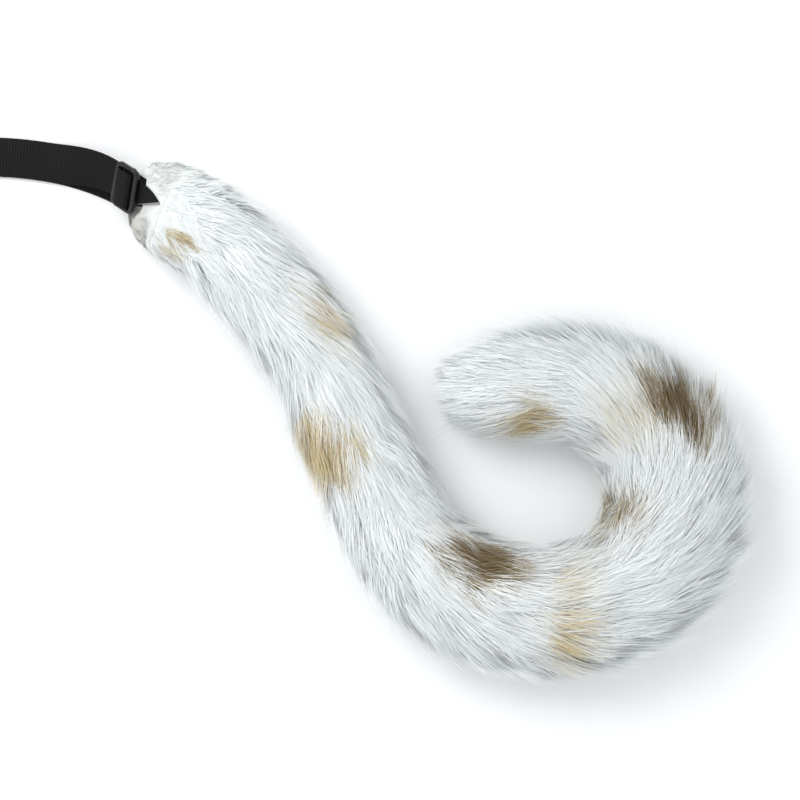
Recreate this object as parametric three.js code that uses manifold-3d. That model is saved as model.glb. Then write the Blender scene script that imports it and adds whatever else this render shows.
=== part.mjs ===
// A costume cat tail of stuffed faux fur on a webbing waist belt, lying on a flat surface with +Z up.
// The tail runs in an S towards +X with its end curled round. The belt leaves its base towards -X,
// threaded through a three-bar slider, and stands open on its edge in a waist loop.
import * as THREE from 'three';
import { mergeVertices } from 'three/addons/utils/BufferGeometryUtils.js';
import Module from 'manifold-3d';

const wasm = await Module();
wasm.setup();

// Driving dimensions, in millimetres and degrees.
const clearance = 0.3;
const tailLength = 680;
const tailWidth = 84;
const tailHeight = 62;
const tailHeading = -7;
const furDepth = 9;
const furRamp = 60;
const lockLength = 42;
const lockWidth = 21;
const lockPitch = 25;
const lockSink = 3;
const lockLean = 7;
const tipRounding = 24;
const capLength = 21;
const capDome = 7;
const gatherDepth = 1.4;
const gatherCount = 11;
const webbingWidth = 25;
const webbingThickness = 1.3;
const webbingBend = 2;
const beltLength = 900;
const freeEndLength = 23;
const freeEndWidth = 17;
const sewnLength = 15;
const rampLength = 57;
const neckLength = 40;
const twistLength = 70;
const sliderWidth = 20;
const sliderThickness = 3.2;
const sliderBarWidth = 3.5;
const sliderEndWidth = 2.8;
const sliderSideRoom = 0.7;
const sliderCorner = 5;
const windowCorner = 1;
const sliderBevel = 0.7;
const centreBarThickness = 2;
const sliderRise = 27;

// Angles of the slider where it leans on the sloping end of the tail.
const sliderHeading = -34;
const sliderPitch = 28;
const sliderRoll = 39;

// Shares that shape the soft forms.
const pressedShare = 0.12;
const undersideFullness = 1.18;
const domeDrawIn = 0.32;
const lockForm = { shoulder: 0.42, crest: 0.85, flank: 0.1, keel: 0.2, overlap: 1.1 };
const lockScatter = { along: 0.35, round: 0.3, length: 0.3, shortest: 0.45 };
const lockArc = { from: -32, to: 212, ofGirth: 0.68, fewest: 5 };
const sliderFromCap = { along: -0.27, across: 0.31 };
const rampHeading = 161;
const runHeading = 171;
const loopFlare = 70;
const freeEndLift = 0.2;
const freeEndSwing = 0.2;
const tabSeat = 0.5;
const tabDip = 0.5;
const underRunEase = 0.34;

// Equal stretches of the tail from the belt to the tip: how far each one bends, left positive, and the
// width and height over the fur at its far end, as shares of tailWidth and tailHeight.
const tailBase = { wide: 0.56, high: 0.56 };
const tailStretches = [
  { turn: -21, wide: 0.7, high: 0.78 },
  { turn: -13, wide: 0.77, high: 0.86 },
  { turn: -6, wide: 0.8, high: 0.88 },
  { turn: -1, wide: 0.78, high: 0.87 },
  { turn: -7, wide: 0.75, high: 0.85 },
  { turn: -11, wide: 0.78, high: 0.87 },
  { turn: -1, wide: 0.8, high: 0.88 },
  { turn: 3, wide: 0.8, high: 0.88 },
  { turn: 0, wide: 0.84, high: 0.9 },
  { turn: 8, wide: 0.87, high: 0.92 },
  { turn: 18, wide: 0.9, high: 0.94 },
  { turn: 15, wide: 0.93, high: 0.95 },
  { turn: 13, wide: 0.95, high: 0.97 },
  { turn: 16, wide: 0.96, high: 0.98 },
  { turn: 18, wide: 0.98, high: 0.99 },
  { turn: 21, wide: 1.0, high: 1.0 },
  { turn: 26, wide: 1.0, high: 1.0 },
  { turn: 23, wide: 0.99, high: 1.0 },
  { turn: 26, wide: 0.96, high: 0.98 },
  { turn: 21, wide: 0.9, high: 0.95 },
  { turn: 23, wide: 0.84, high: 0.91 },
  { turn: 18, wide: 0.8, high: 0.88 },
  { turn: 1, wide: 0.74, high: 0.82 },
  { turn: -1, wide: 0.6, high: 0.66 },
];

const degrees = THREE.MathUtils.degToRad;
const { lerp, clamp, smoothstep } = THREE.MathUtils;
const up = new THREE.Vector3(0, 0, 1);

// Where an arc of a given run and turn ends.
function follow(from, run, turn) {
  const half = turn / 2;
  const chord = Math.abs(half) < 1e-9 ? run : (run * Math.sin(half)) / half;
  return {
    x: from.x + chord * Math.cos(from.heading + half),
    y: from.y + chord * Math.sin(from.heading + half),
    heading: from.heading + turn,
  };
}

// A chain of arcs in a plane, read by the distance along it.
function chain(start, legs) {
  const joints = [{ ...start, s: 0 }];
  for (const { run, turn } of legs) {
    const last = joints.at(-1);
    joints.push({ ...follow(last, run, degrees(turn)), s: last.s + run });
  }
  const length = joints.at(-1).s;
  const at = (s) => {
    const within = legs.findIndex((leg, i) => s < joints[i + 1].s);
    const i = within < 0 ? legs.length - 1 : within;
    const run = s - joints[i].s;
    const turn = s > length ? legs[i].turn : (legs[i].turn * run) / legs[i].run;
    return follow(joints[i], run, degrees(turn));
  };
  return { at, length };
}

// Joins rings of equally many points into one closed geometry with a flat face on each end.
function loft(rings) {
  const around = rings[0].length;
  const points = rings.flat();
  const index = [];
  for (let r = 0; r < rings.length - 1; r += 1) {
    for (let k = 0; k < around; k += 1) {
      const next = (k + 1) % around;
      const low = r * around;
      const high = low + around;
      index.push(low + k, low + next, high + next, low + k, high + next, high + k);
    }
  }
  const last = (rings.length - 1) * around;
  for (let k = 1; k < around - 1; k += 1) {
    index.push(0, k + 1, k, last, last + k, last + k + 1);
  }
  const geometry = new THREE.BufferGeometry().setFromPoints(points);
  geometry.setIndex(index);
  return geometry;
}

function toSolid(geometry) {
  const bare = geometry.clone();
  bare.deleteAttribute('normal');
  bare.deleteAttribute('uv');
  const merged = mergeVertices(bare, 1e-4);
  const mesh = new wasm.Mesh({
    numProp: 3,
    vertProperties: new Float32Array(merged.attributes.position.array),
    triVerts: new Uint32Array(merged.index.array),
  });
  const solid = new wasm.Manifold(mesh);
  return solid.volume() < 0 ? toSolid(turnedOut(merged)) : solid;
}

function turnedOut(geometry) {
  const flipped = geometry.clone();
  const index = Array.from(geometry.index.array);
  for (let i = 0; i < index.length; i += 3) {
    [index[i], index[i + 1]] = [index[i + 1], index[i]];
  }
  flipped.setIndex(index);
  return flipped;
}

// The outer surface alone, without the small hollows that joined locks close in.
function outerBody(solid) {
  return solid.decompose().reduce((best, body) => (body.volume() > best.volume() ? body : best));
}

function toGeometry(solid) {
  const mesh = solid.getMesh();
  const geometry = new THREE.BufferGeometry();
  geometry.setAttribute('position', new THREE.BufferAttribute(mesh.vertProperties, 3));
  geometry.setIndex(new THREE.BufferAttribute(mesh.triVerts, 1));
  geometry.computeVertexNormals();
  return geometry;
}

// The tail's centreline in plan, and the sizes of its section at a distance from the base.
const stretchLength = tailLength / tailStretches.length;
const centreline = chain(
  { x: 0, y: 0, heading: degrees(tailHeading) },
  tailStretches.map(({ turn }) => ({ run: stretchLength, turn })),
);

function shareAt(column, s) {
  const place = clamp(s / stretchLength, 0, tailStretches.length - 1e-6);
  const row = Math.floor(place);
  const from = row === 0 ? tailBase : tailStretches[row - 1];
  return lerp(from[column], tailStretches[row][column], place - row);
}

function pileDepth(s) {
  return furDepth * smoothstep(s, capLength, capLength + furRamp);
}

function sectionAt(s) {
  const halfWidth = (shareAt('wide', s) * tailWidth) / 2;
  const fullHeight = (shareAt('high', s) * tailHeight) / (1 - pressedShare);
  const centre = fullHeight * (0.5 - pressedShare);
  const pile = pileDepth(s);
  const intoTip = clamp((s - tailLength + tipRounding) / tipRounding, 0, 0.98);
  const intoDome = clamp(1 - s / capDome, 0, 1);
  const round = Math.sqrt(1 - intoTip * intoTip) * (1 - domeDrawIn * intoDome * intoDome);
  return {
    side: (halfWidth - pile) * round,
    top: (fullHeight / 2 - pile) * round,
    low: centre * undersideFullness * (0.6 + 0.4 * round),
    centre,
  };
}

// A point of the skin under the pile, angle 0 at the left of the tail's run and 90 degrees on top,
// with the directions along the run, out of the skin and round it.
function skinAt(s, angle, swell = 0) {
  const spot = centreline.at(s);
  const { side, top, low, centre } = sectionAt(s);
  const across = new THREE.Vector3(-Math.sin(spot.heading), Math.cos(spot.heading), 0);
  const along = new THREE.Vector3(Math.cos(spot.heading), Math.sin(spot.heading), 0);
  const reach = Math.sin(angle) > 0 ? top : low;
  const point = new THREE.Vector3(spot.x, spot.y, centre)
    .addScaledVector(across, (side + swell) * Math.cos(angle))
    .addScaledVector(up, (reach + swell) * Math.sin(angle));
  const out = new THREE.Vector3()
    .addScaledVector(across, Math.cos(angle) / side)
    .addScaledVector(up, Math.sin(angle) / reach)
    .normalize();
  return { point, along, out, round: new THREE.Vector3().crossVectors(along, out) };
}

function skinRing(s, sides, swellAt = () => 0) {
  return Array.from({ length: sides }, (_, k) => {
    const angle = (k / sides) * 2 * Math.PI;
    return skinAt(s, angle, swellAt(angle)).point;
  });
}

// A seeded sequence, so that the locks fall the same way each time.
function sequence(seed) {
  let state = seed;
  return () => {
    state = (state * 1664525 + 1013904223) % 4294967296;
    return state / 4294967296;
  };
}

// One tapered lock of fur: rooted under the skin, thickest before its middle, its tip standing proud.
function lock(s, angle, length, width, lean) {
  const { point, out, round } = skinAt(s, angle);
  const ahead = centreline.at(s + length / 2).heading;
  const along = new THREE.Vector3(Math.cos(ahead), Math.sin(ahead), 0);
  const pile = Math.max(pileDepth(s + length), furDepth / 4);
  const place = (run, aside, rise) => point.clone()
    .addScaledVector(along, run)
    .addScaledVector(round, aside)
    .addScaledVector(out, rise);
  const shoulder = length * lockForm.shoulder;
  const root = place(0, 0, -lockSink);
  const left = place(shoulder, -width / 2, -pile * lockForm.flank);
  const crest = place(shoulder, lean / 3, pile * lockForm.crest);
  const right = place(shoulder, width / 2, -pile * lockForm.flank);
  const keel = place(shoulder, 0, -lockSink - pile * lockForm.keel);
  const tip = place(length, lean, pile);
  const geometry = new THREE.BufferGeometry().setFromPoints([root, left, crest, right, keel, tip]);
  geometry.setIndex([0, 2, 1, 0, 3, 2, 0, 4, 3, 0, 1, 4, 5, 1, 2, 5, 2, 3, 5, 3, 4, 5, 4, 1]);
  return toSolid(geometry);
}

function furLocks() {
  const random = sequence(7);
  const spread = (amount) => (random() - 0.5) * amount;
  const locks = [];
  const firstRow = capLength + lockSink + clearance;
  const rows = Math.floor((tailLength - tipRounding / 2 - firstRow) / lockPitch);
  for (let row = 0; row <= rows; row += 1) {
    const s = firstRow + row * lockPitch;
    const { side, top } = sectionAt(s);
    const girth = Math.PI * (side + top) * lockArc.ofGirth;
    const count = Math.max(lockArc.fewest, Math.round(girth / lockWidth));
    const stagger = row % 2 ? 0.25 : -0.25;
    for (let k = 0; k < count; k += 1) {
      const turn = (k + 0.5 + stagger + spread(lockScatter.round)) / count;
      const angle = degrees(lerp(lockArc.from, lockArc.to, turn));
      const early = clamp((s - capLength) / furRamp, lockScatter.shortest, 1);
      const wanted = lockLength * early * (0.9 + spread(lockScatter.length));
      const length = Math.min(wanted, tailLength - s + lockSink);
      const root = s + random() * lockPitch * lockScatter.along;
      locks.push(lock(root, angle, length, lockWidth * lockForm.overlap, spread(lockLean)));
    }
  }
  return locks;
}

// Everything above the surface that the tail lies on.
function aboveFloor() {
  const reach = 4 * (tailLength + beltLength);
  const half = new THREE.BoxGeometry(reach, reach, reach);
  half.translate(0, 0, reach / 2);
  return toSolid(half);
}

// The buckle's own axes: x along the webbing towards the tip, y across it and z out of its face.
const capSpot = centreline.at(capLength * sliderFromCap.along);
const capAcross = (sliderFromCap.across * tailBase.wide * tailWidth) / 2;
const buckle = new THREE.Group();
buckle.position.set(
  capSpot.x - Math.sin(capSpot.heading) * capAcross,
  capSpot.y + Math.cos(capSpot.heading) * capAcross,
  sliderRise,
);
buckle.rotation.set(degrees(sliderRoll), degrees(-sliderPitch), degrees(sliderHeading), 'ZYX');
buckle.updateMatrixWorld(true);

// Levels of the threaded webbing, measured out of the buckle's face.
const layerPitch = webbingThickness + clearance;
const underLevel = -(sliderThickness / 2 + clearance + webbingThickness / 2);
const wrapReach = centreBarThickness / 2 + layerPitch;
const overLevel = wrapReach + clearance + webbingThickness / 2;
const slotInner = sliderWidth / 2 - sliderBarWidth;
const wrapSide = sliderBarWidth / 2 + layerPitch;
const riseAt = (slotInner + wrapSide) / 2;
const exitAt = sliderWidth / 2 + webbingThickness;

// Edge points of the webbing at each station along it, from its free end to its sewn end.
function stationAcross(centre, across, width = webbingWidth) {
  return {
    low: centre.clone().addScaledVector(across, -width / 2),
    high: centre.clone().addScaledVector(across, width / 2),
  };
}

// The free end lies on the tail. Its corners are cut off under the slider's bar, and the rest is cut
// on a slant, so that only its upper edge is long.
function freeEndStations() {
  const stations = [];
  const steps = 8;
  const from = sliderWidth / 2 - sliderBarWidth / 2;
  const edge = (run, aside) => {
    const past = Math.max(run - exitAt, 0);
    const share = past / freeEndLength;
    return new THREE.Vector3(
      run,
      aside - freeEndSwing * past * share,
      underLevel + freeEndLift * past * share,
    ).applyMatrix4(buckle.matrixWorld);
  };
  for (let i = steps; i > 0; i -= 1) {
    const share = i / steps;
    stations.push({
      low: edge(lerp(from, exitAt, share / 4), -freeEndWidth / 2),
      high: edge(lerp(from, from + freeEndLength, share), freeEndWidth / 2),
    });
  }
  return stations;
}

// Under one outer bar, over the centre bar and its wrapped tab, and under the other outer bar.
function threadedStations() {
  const climb = overLevel - underLevel - 2 * webbingBend;
  const bend = (Math.PI / 2) * webbingBend;
  const outerRun = sliderWidth / 2 - sliderBarWidth / 2 - riseAt - webbingBend;
  const path = chain({ x: riseAt + webbingBend + outerRun, y: underLevel, heading: Math.PI }, [
    { run: outerRun, turn: 0 },
    { run: bend, turn: -90 },
    { run: climb, turn: 0 },
    { run: bend, turn: 90 },
    { run: 2 * (riseAt - webbingBend), turn: 0 },
    { run: bend, turn: 90 },
    { run: climb, turn: 0 },
    { run: bend, turn: -90 },
    { run: exitAt - riseAt - webbingBend, turn: 0 },
  ]);
  const steps = 34;
  const across = new THREE.Vector3(0, 1, 0).transformDirection(buckle.matrixWorld);
  return Array.from({ length: steps + 1 }, (_, i) => {
    const { x, y } = path.at((path.length * i) / steps);
    const centre = new THREE.Vector3(x, 0, y).applyMatrix4(buckle.matrixWorld);
    return stationAcross(centre, across);
  });
}

// The stretch of belt between the buckle and the loop: both runs lie one on the other, curve to the
// left of the tail, and roll together onto their edges before they part.
const runStart = {
  x: buckle.position.x + rampLength * Math.cos(degrees(rampHeading)),
  y: buckle.position.y + rampLength * Math.sin(degrees(rampHeading)),
  heading: degrees(runHeading),
};
const neck = chain(runStart, [
  { run: neckLength, turn: 180 - runHeading },
  { run: twistLength, turn: 0 },
]);

function neckStation(s, layer) {
  const spot = neck.at(s);
  const roll = (Math.PI / 2) * smoothstep(s, neckLength, neck.length);
  const away = new THREE.Vector3(Math.sin(spot.heading), -Math.cos(spot.heading), 0);
  const face = up.clone().multiplyScalar(Math.cos(roll)).addScaledVector(away, Math.sin(roll));
  const across = away.clone().multiplyScalar(Math.cos(roll)).addScaledVector(up, -Math.sin(roll));
  const rise = (webbingWidth / 2) * Math.sin(roll) + (webbingThickness / 2) * Math.cos(roll);
  const centre = new THREE.Vector3(spot.x, spot.y, rise).addScaledVector(face, layer * layerPitch);
  return stationAcross(centre, across);
}

function neckStations(layer) {
  const steps = 22;
  return Array.from({ length: steps + 1 }, (_, i) => neckStation((neck.length * i) / steps, layer));
}

// From the buckle down to the surface.
function rampStations() {
  const along = new THREE.Vector3(1, 0, 0).transformDirection(buckle.matrixWorld);
  const across = new THREE.Vector3(0, 1, 0).transformDirection(buckle.matrixWorld);
  const from = new THREE.Vector3(-exitAt, 0, underLevel).applyMatrix4(buckle.matrixWorld);
  const landing = neckStation(0, 1);
  const to = landing.low.clone().add(landing.high).multiplyScalar(0.5);
  const flat = landing.high.clone().sub(landing.low).normalize();
  const runDirection = new THREE.Vector3(Math.cos(runStart.heading), Math.sin(runStart.heading), 0);
  const reach = from.distanceTo(to) / 3;
  const curve = new THREE.CubicBezierCurve3(
    from,
    from.clone().addScaledVector(along, -reach),
    to.clone().addScaledVector(runDirection, -reach),
    to,
  );
  const steps = 12;
  return Array.from({ length: steps - 1 }, (_, i) => {
    const share = (i + 1) / steps;
    const turned = across.clone().lerp(flat, smoothstep(share, 0, 1));
    const tangent = curve.getTangent(share);
    turned.addScaledVector(tangent, -turned.dot(tangent)).normalize();
    return stationAcross(curve.getPoint(share), turned);
  });
}

// The run that comes back lies under the other one and is sewn to the underside of the cap.
const sewnSpot = centreline.at(sewnLength);
const sewnDirection = new THREE.Vector3(1, 0, 0).applyAxisAngle(up, degrees(sliderHeading));

function underRunStations() {
  const start = neck.at(0);
  const level = webbingThickness / 2;
  const from = new THREE.Vector3(start.x, start.y, level);
  const to = new THREE.Vector3(sewnSpot.x, sewnSpot.y, level);
  const outward = new THREE.Vector3(1, 0, 0).applyAxisAngle(up, start.heading);
  const reach = from.distanceTo(to) * underRunEase;
  const curve = new THREE.CubicBezierCurve3(
    from,
    from.clone().addScaledVector(outward, -reach),
    to.clone().addScaledVector(sewnDirection, -reach),
    to,
  );
  const steps = 14;
  return Array.from({ length: steps }, (_, i) => {
    const share = (i + 1) / steps;
    const tangent = curve.getTangent(share);
    return stationAcross(curve.getPoint(share), new THREE.Vector3().crossVectors(up, tangent));
  });
}

function lengthOf(stations) {
  const middles = stations.map(({ low, high }) => low.clone().add(high).multiplyScalar(0.5));
  return middles.slice(1).reduce((sum, point, i) => sum + point.distanceTo(middles[i]), 0);
}

// The waist loop takes the length that is left: it flares out of the neck, goes round and comes back.
function loopStations(loopLength) {
  const flare = degrees(loopFlare);
  const offset = layerPitch / 2;
  const flareShare = Math.cos(flare) / (1 - Math.cos(flare));
  const radius = loopLength / (2 * flare * flareShare + Math.PI + 2 * flare);
  const flareRadius = (radius * Math.cos(flare) - offset) / (1 - Math.cos(flare));
  const end = neck.at(neck.length);
  const loop = chain({ x: end.x, y: end.y + layerPitch, heading: end.heading }, [
    { run: flareRadius * flare, turn: -loopFlare },
    { run: radius * (Math.PI + 2 * flare), turn: 180 + 2 * loopFlare },
    { run: flareRadius * flare, turn: -loopFlare },
  ]);
  const steps = 60;
  return Array.from({ length: steps - 1 }, (_, i) => {
    const spot = loop.at((loop.length * (i + 1)) / steps);
    const centre = new THREE.Vector3(spot.x, spot.y, webbingWidth / 2);
    return stationAcross(centre, up.clone().negate());
  });
}

// A ribbon through its stations, thickened to each side of its face.
function ribbon(stations, below, above, margin = 0) {
  const middle = ({ low, high }) => low.clone().add(high).multiplyScalar(0.5);
  const rings = stations.map((station, i) => {
    const before = middle(stations[Math.max(i - 1, 0)]);
    const after = middle(stations[Math.min(i + 1, stations.length - 1)]);
    const across = station.high.clone().sub(station.low).normalize();
    const face = new THREE.Vector3().crossVectors(across, after.sub(before)).normalize();
    const low = station.low.clone().addScaledVector(across, -margin);
    const high = station.high.clone().addScaledVector(across, margin);
    return [
      low.clone().addScaledVector(face, -below),
      high.clone().addScaledVector(face, -below),
      high.clone().addScaledVector(face, above),
      low.clone().addScaledVector(face, above),
    ];
  });
  return loft(rings);
}

function beltStations() {
  const toNeck = [...freeEndStations(), ...threadedStations(), ...rampStations(), ...neckStations(1)];
  const fromNeck = [...neckStations(0).reverse(), ...underRunStations()];
  const loopLength = beltLength - lengthOf(toNeck) - lengthOf(fromNeck);
  return [...toNeck, ...loopStations(loopLength), ...fromNeck];
}

function beltGeometry() {
  const half = webbingThickness / 2;
  return toGeometry(toSolid(ribbon(beltStations(), half, half)));
}

// The station that clears an end of the webbing.
function clearOf({ low, high }, direction) {
  return {
    low: low.clone().addScaledVector(direction, clearance),
    high: high.clone().addScaledVector(direction, clearance),
  };
}

// Room for the belt in the soft pieces: a bed under the free end, open above it, and a pocket round
// the sewn end.
function beltRoom() {
  const bed = webbingThickness / 2 + clearance;
  const free = [...freeEndStations(), threadedStations()[0]];
  const face = up.clone().transformDirection(buckle.matrixWorld);
  const cut = free[0].high.clone().sub(free[0].low).normalize();
  free.unshift(clearOf(free[0], new THREE.Vector3().crossVectors(cut, face)));
  const sewn = underRunStations();
  sewn.push(clearOf(sewn.at(-1), sewnDirection));
  const freeRoom = toSolid(ribbon(free, bed, tailHeight, clearance));
  return freeRoom.add(toSolid(ribbon(sewn, bed, bed, clearance)));
}

// The slider's frame: an oblong with rounded corners and one wide window, and a thinner centre bar.
const windowLength = webbingWidth + 2 * sliderSideRoom;
const sliderLength = windowLength + 2 * sliderEndWidth;

function roundedOblong(width, length, corner) {
  const x = width / 2;
  const y = length / 2;
  const outline = new THREE.Shape();
  outline.moveTo(-x + corner, -y);
  outline.lineTo(x - corner, -y);
  outline.absarc(x - corner, -y + corner, corner, -Math.PI / 2, 0, false);
  outline.lineTo(x, y - corner);
  outline.absarc(x - corner, y - corner, corner, 0, Math.PI / 2, false);
  outline.lineTo(-x + corner, y);
  outline.absarc(-x + corner, y - corner, corner, Math.PI / 2, Math.PI, false);
  outline.lineTo(-x, -y + corner);
  outline.absarc(-x + corner, -y + corner, corner, Math.PI, 1.5 * Math.PI, false);
  return outline;
}

function bevelled(outline, thickness) {
  const geometry = new THREE.ExtrudeGeometry(outline, {
    depth: thickness - 2 * sliderBevel,
    bevelThickness: sliderBevel,
    bevelSize: sliderBevel,
    bevelOffset: -sliderBevel,
    bevelSegments: 1,
    curveSegments: 4,
  });
  return geometry.translate(0, 0, sliderBevel - thickness / 2);
}

function centreBarGeometry(margin = 0) {
  const thickness = centreBarThickness + 2 * margin;
  const outline = roundedOblong(sliderBarWidth + 2 * margin, thickness, thickness / 2 - 1e-3);
  const length = windowLength + 2 * sliderBevel;
  const bar = new THREE.ExtrudeGeometry(outline, {
    depth: length,
    bevelEnabled: false,
    curveSegments: 4,
  });
  return bar.translate(0, 0, -length / 2).rotateX(Math.PI / 2);
}

function sliderGeometry() {
  const frame = roundedOblong(sliderWidth, sliderLength, sliderCorner);
  const windowWidth = sliderWidth - 2 * sliderBarWidth;
  frame.holes.push(roundedOblong(windowWidth, windowLength, windowCorner));
  return toGeometry(toSolid(bevelled(frame, sliderThickness)).add(toSolid(centreBarGeometry())));
}

// The tab: webbing folded round the centre bar, its two legs sewn together under the belt.
const tabTop = underLevel - webbingThickness / 2 - clearance;
const tabBottom = tabTop - 2 * webbingThickness;

function tabOutline(margin = 0) {
  const reach = sliderWidth / 2 + capLength * tabSeat + margin;
  const flat = (sliderBarWidth - centreBarThickness) / 2;
  const outline = new THREE.Shape();
  const dip = tabDip * (reach - sliderWidth / 2);
  outline.moveTo(sliderWidth / 2, tabBottom - margin);
  outline.lineTo(reach, tabBottom - margin - dip);
  outline.lineTo(reach, tabTop + margin - dip);
  outline.lineTo(sliderWidth / 2, tabTop + margin);
  outline.lineTo(flat + wrapReach * 0.8, tabTop + margin);
  outline.lineTo(flat + wrapReach, 0);
  outline.absarc(flat, 0, wrapReach, 0, Math.PI / 2, false);
  outline.absarc(-flat, 0, wrapReach, Math.PI / 2, Math.PI, false);
  outline.quadraticCurveTo(-wrapSide, tabBottom - margin, wrapReach * 0.4, tabBottom - margin);
  return outline;
}

function tabSolid(margin = 0) {
  const width = webbingWidth + 2 * margin;
  const body = new THREE.ExtrudeGeometry(tabOutline(margin), {
    depth: width,
    bevelEnabled: false,
    curveSegments: 5,
  });
  body.translate(0, 0, -width / 2).rotateX(Math.PI / 2);
  return toSolid(body);
}

function tabGeometry() {
  return toGeometry(tabSolid().subtract(toSolid(centreBarGeometry(clearance))));
}

// Room in the cap for the slider and the tab.
function buckleRoom() {
  const block = new THREE.BoxGeometry(
    sliderWidth + 2 * clearance,
    sliderLength + 2 * clearance,
    tailHeight,
  );
  block.translate(0, 0, tailHeight / 2 - sliderThickness / 2 - clearance);
  const strap = new THREE.BoxGeometry(
    sliderWidth + 2 * clearance,
    webbingWidth + 2 * clearance,
    tailHeight,
  );
  strap.translate(0, 0, tailHeight / 2 + tabBottom - clearance);
  const room = toSolid(block).add(toSolid(strap)).add(tabSolid(clearance));
  return room.transform(buckle.matrixWorld.elements);
}

// A soft form pressed flat where it lies, with room left for the belt and the buckle.
function fitted(solid) {
  return solid.intersect(aboveFloor()).subtract(beltRoom()).subtract(buckleRoom());
}

// The cap closes the sleeve: its end is drawn in, with gathers that fade towards the fur.
function capGeometry() {
  const rings = [0, 0.08, 0.2, 0.4, 0.7, 1].map((share) => {
    const fade = (1 - share) ** 1.5;
    const swell = (angle) => gatherDepth * fade * Math.cos(gatherCount * angle);
    return skinRing(capLength * share, gatherCount * 4, swell);
  });
  return toGeometry(fitted(toSolid(loft(rings))));
}

function tailGeometry() {
  const start = capLength + clearance;
  const steps = 52;
  const rings = Array.from({ length: steps + 1 }, (_, i) => {
    return skinRing(lerp(start, tailLength, i / steps), 18);
  });
  const furred = wasm.Manifold.union([toSolid(loft(rings)), ...furLocks()]);
  return toGeometry(outerBody(fitted(furred)));
}

const webbingBlack = { color: 0x29272b, roughness: 0.85, metalness: 0 };

function named(name, geometry, look) {
  const mesh = new THREE.Mesh(geometry, new THREE.MeshStandardMaterial(look));
  mesh.name = name;
  return mesh;
}

buckle.add(named('slider', sliderGeometry(), { color: 0x17161a, roughness: 0.35, metalness: 0 }));
buckle.add(named('slider_tab', tabGeometry(), webbingBlack));

const model = new THREE.Group();
model.add(named('tail', tailGeometry(), { color: 0xf1f0ee, roughness: 0.9, metalness: 0 }));
model.add(named('base_cap', capGeometry(), { color: 0xcfcfcb, roughness: 0.95, metalness: 0 }));
model.add(named('waist_belt', beltGeometry(), webbingBlack));
model.add(buckle);

// The origin is on the surface, under the middle of the whole piece.
const bounds = new THREE.Box3().setFromObject(model, true);
const middle = bounds.getCenter(new THREE.Vector3());
model.position.set(-middle.x, -middle.y, 0);
model.updateMatrixWorld(true);

export default model;
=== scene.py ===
# A costume cat tail of white faux fur with tan and brown spots, on a black webbing waist belt with a
# plastic slider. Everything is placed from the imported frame, in metres, +Z up.
import math
from collections import namedtuple

import bmesh
import bpy
import numpy as np
from mathutils import Euler, Matrix, Vector
from mathutils.kdtree import KDTree


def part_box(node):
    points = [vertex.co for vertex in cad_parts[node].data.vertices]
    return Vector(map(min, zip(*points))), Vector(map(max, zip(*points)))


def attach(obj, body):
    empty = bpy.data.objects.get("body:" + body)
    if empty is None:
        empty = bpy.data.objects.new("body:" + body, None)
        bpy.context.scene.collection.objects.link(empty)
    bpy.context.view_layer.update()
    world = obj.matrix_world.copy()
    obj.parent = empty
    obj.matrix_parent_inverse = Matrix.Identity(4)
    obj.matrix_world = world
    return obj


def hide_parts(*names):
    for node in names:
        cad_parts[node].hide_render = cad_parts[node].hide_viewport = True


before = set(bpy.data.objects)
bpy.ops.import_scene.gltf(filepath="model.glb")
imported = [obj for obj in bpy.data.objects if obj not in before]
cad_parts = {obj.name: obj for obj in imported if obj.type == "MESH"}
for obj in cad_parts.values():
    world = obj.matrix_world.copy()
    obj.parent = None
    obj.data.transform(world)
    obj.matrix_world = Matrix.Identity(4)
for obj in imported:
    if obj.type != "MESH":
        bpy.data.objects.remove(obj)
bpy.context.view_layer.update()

# The slider sits where the sleeve ends, so its place fixes the start of the tail and its lean gives
# the buckle's own axes: X along the webbing towards the tip, Y across it and Z out of its face.
SLIDER_HEADING = math.radians(-34)
SLIDER_PITCH = math.radians(28)
SLIDER_ROLL = math.radians(39)


def middle_of(node):
    low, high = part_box(node)
    return (low + high) / 2


buckle_turn = Euler((SLIDER_ROLL, -SLIDER_PITCH, SLIDER_HEADING), "XYZ").to_matrix().to_4x4()
buckle = Matrix.Translation(middle_of("slider")) @ buckle_turn

# The sleeve: a knitted fur backing sewn into a long tube, stuffed, and lying in an S with its end
# curled round. Its own weight presses the underside flat, and the pile leans from base to tip.
SLEEVE_LENGTH = 0.680
SLEEVE_WIDTH = 0.084
SLEEVE_HEIGHT = 0.062
SLEEVE_HEADING = math.radians(-7)
PRESSED_SHARE = 0.12
UNDERSIDE_FULLNESS = 1.18
UNDERSIDE_AT_TIP = 0.6
TIP_ROUNDING = 0.024
TIP_CLOSED = 0.98
PILE_DEPTH = 0.009
PILE_RAMP = 0.060
CAP_LENGTH = 0.021
CAP_DOME = 0.007
DOME_DRAW_IN = 0.32
SLIDER_ALONG = -0.27
SLIDER_ACROSS = 0.31
HAIR_LENGTH = 0.036
TIP_FRINGE = 0.008
SLEEVE_STEP = 0.0035
SLEEVE_SIDES = 56
BACKING_REST = 0.0012

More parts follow.
